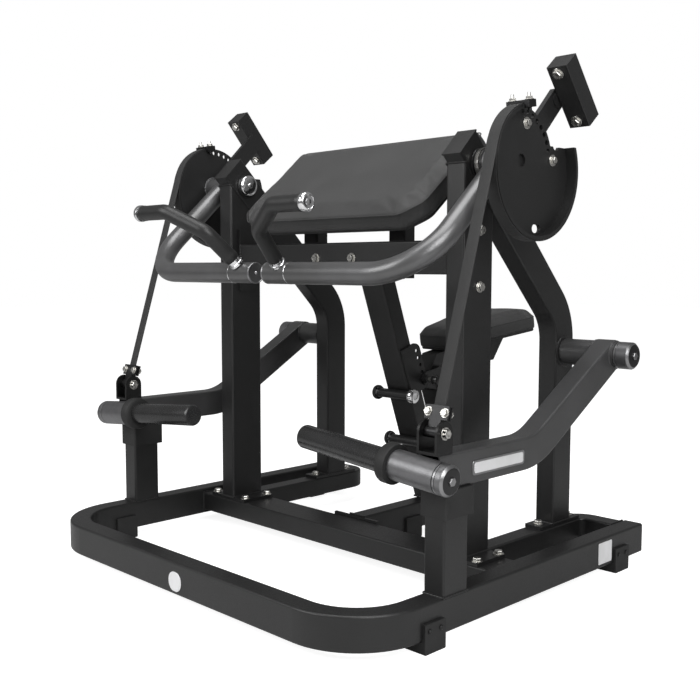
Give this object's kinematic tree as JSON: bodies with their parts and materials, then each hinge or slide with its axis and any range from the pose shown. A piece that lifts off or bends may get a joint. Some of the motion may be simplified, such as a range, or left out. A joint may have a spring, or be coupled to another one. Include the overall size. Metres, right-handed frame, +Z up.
{
  "type": "plate-loaded biceps curl machine",
  "caption": "Plate-loaded seated biceps curl machine with sloping arm pad, independent cam-driven arms, belt-lifted weight levers and a sliding seat.",
  "frame": {"origin": "on the floor under the middle of the machine's outline", "axes": "+X to the right of someone facing the machine's rear, +Y to the rear where the seat is, +Z up; the machine is symmetric in X except for the seat's locking pin"},
  "size_m": [1.208, 1.1731, 1.1596],
  "materials": {
    "frame_paint": "fine textured satin black",
    "plastic": "moulded black",
    "housing_paint": "satin black",
    "chrome": "polished",
    "peg_paint": "satin black",
    "carrier_paint": "satin black",
    "knob": "black knob",
    "upholstery": "matt black vinyl",
    "rubber": "matt",
    "zinc": "zinc plated",
    "badge_plate": "blank satin plate",
    "arm_paint": "satin graphite",
    "belt_fabric": "woven black",
    "grip_rubber": "smooth",
    "lever_paint": "satin graphite",
    "horn_paint": "satin black",
    "satin_steel": "satin dark"
  },
  "bodies": {
    "frame": {"arm_pad": "upholstery", "arm_pad_mount": "frame_paint", "badges": "badge_plate", "base_frame": "frame_paint", "bearing_caps": "chrome", "bearing_housings": "housing_paint", "centre_tube": "frame_paint", "cross_tube": "frame_paint", "crossbar": "frame_paint", "frame_bolts": "zinc", "left_front_upright": "frame_paint", "left_rear_rail": "frame_paint", "left_rear_upright": "frame_paint", "lever_axles": "housing_paint", "rack_plate": "frame_paint", "right_front_upright": "frame_paint", "right_rear_rail": "frame_paint", "right_rear_upright": "frame_paint", "rubber_feet": "rubber", "seat_post": "frame_paint", "stop_bumpers": "rubber", "stop_posts": "frame_paint", "strut": "frame_paint", "strut_pegs": "peg_paint", "tube_caps": "plastic"},
    "left_arm": {"left_cam": "arm_paint", "left_cam_belt": "belt_fabric", "left_cam_clamp": "zinc", "left_counterweight": "arm_paint", "left_arm_bolts": "zinc", "left_curl_arm": "arm_paint"},
    "left_handle": {"left_handle_sleeve": "arm_paint", "left_handle_grip": "grip_rubber", "left_handle_trim": "chrome"},
    "left_lever": {"left_weight_lever": "lever_paint", "left_weight_horn": "horn_paint", "left_horn_housing": "satin_steel", "left_lever_trim": "satin_steel", "left_clevis": "zinc"},
    "left_belt_grip": {"left_belt_clamp": "zinc", "left_belt": "belt_fabric"},
    "right_arm": {"right_cam": "arm_paint", "right_cam_belt": "belt_fabric", "right_cam_clamp": "zinc", "right_counterweight": "arm_paint", "right_arm_bolts": "zinc", "right_curl_arm": "arm_paint"},
    "right_handle": {"right_handle_sleeve": "arm_paint", "right_handle_grip": "grip_rubber", "right_handle_trim": "chrome"},
    "right_lever": {"right_weight_lever": "lever_paint", "right_weight_horn": "horn_paint", "right_horn_housing": "satin_steel", "right_lever_trim": "satin_steel", "right_clevis": "zinc"},
    "right_belt_grip": {"right_belt_clamp": "zinc", "right_belt": "belt_fabric"},
    "seat_carriage": {"seat_carrier": "carrier_paint", "seat": "upholstery"},
    "locking_pin": {"pop_pin": "knob"}
  },
  "joints": [
    {"name": "left_arm_pivot", "type": "hinge", "parent": "frame", "child": "left_arm", "pos_m": [-0.4, -0.077, 0.9335], "axis": [-1, 0, 0], "range_deg": [0, 130], "deforming": ["left_belt"]},
    {"name": "left_handle_pivot", "type": "hinge", "parent": "left_arm", "child": "left_handle", "pos_m": [-0.06, -0.33053, 0.70248], "axis": [-1, 0, 0], "range_deg": [-20, 35]},
    {"name": "left_lever_pivot", "type": "hinge", "parent": "frame", "child": "left_lever", "pos_m": [-0.48, 0.2605, 0.516], "axis": [-1, 0, 0], "range_deg": [0, 29]},
    {"name": "left_belt_grip_pivot", "type": "hinge", "parent": "left_lever", "child": "left_belt_grip", "pos_m": [-0.528, -0.353, 0.407], "axis": [-1, 0, 0], "range_deg": [-26, 0]},
    {"name": "right_arm_pivot", "type": "hinge", "parent": "frame", "child": "right_arm", "pos_m": [0.4, -0.077, 0.9335], "axis": [-1, 0, 0], "range_deg": [0, 130], "deforming": ["right_belt"]},
    {"name": "right_handle_pivot", "type": "hinge", "parent": "right_arm", "child": "right_handle", "pos_m": [0.06, -0.33053, 0.70248], "axis": [-1, 0, 0], "range_deg": [-20, 35]},
    {"name": "right_lever_pivot", "type": "hinge", "parent": "frame", "child": "right_lever", "pos_m": [0.48, 0.2605, 0.516], "axis": [-1, 0, 0], "range_deg": [0, 29]},
    {"name": "right_belt_grip_pivot", "type": "hinge", "parent": "right_lever", "child": "right_belt_grip", "pos_m": [0.528, -0.353, 0.407], "axis": [-1, 0, 0], "range_deg": [-26, 0]},
    {"name": "seat_height", "type": "slide", "parent": "frame", "child": "seat_carriage", "axis": [0, -0.3437, 0.9391], "range_m": [0, 0.08]},
    {"name": "pin_slide", "type": "slide", "parent": "seat_carriage", "child": "locking_pin", "axis": [-1, 0, 0], "range_m": [0, 0.009]}
  ],
  "couplings": [
    {"joint": "left_lever_pivot", "follows": "left_arm_pivot", "ratio": 0.2225},
    {"joint": "left_belt_grip_pivot", "follows": "left_arm_pivot", "ratio": -0.195},
    {"joint": "right_lever_pivot", "follows": "right_arm_pivot", "ratio": 0.2225},
    {"joint": "right_belt_grip_pivot", "follows": "right_arm_pivot", "ratio": -0.195}
  ]
}
